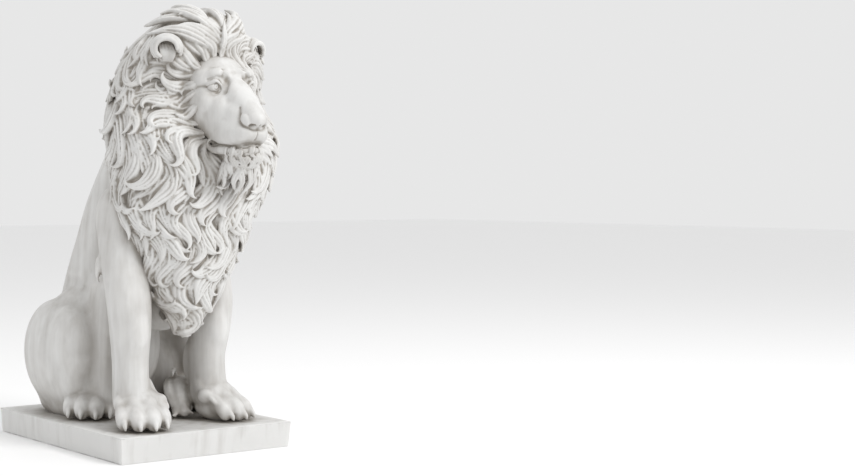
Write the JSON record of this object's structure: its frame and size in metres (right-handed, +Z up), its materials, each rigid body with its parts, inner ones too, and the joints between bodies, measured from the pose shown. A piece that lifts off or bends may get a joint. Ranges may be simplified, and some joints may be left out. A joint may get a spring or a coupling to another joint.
{
  "type": "lion statue",
  "caption": "Seated lion garden statue with a full carved mane, cast in one with a low rectangular base slab, near-white stone finish.",
  "frame": {"origin": "Centre of the base slab's underside.", "axes": "+Z up, the lion looks along -Y, +X is the lion's left."},
  "size_m": [0.3448, 0.498, 0.7175],
  "materials": {
    "cast_stone": "matt"
  },
  "bodies": {
    "root": {"lion_statue": "cast_stone"}
  },
  "joints": []
}
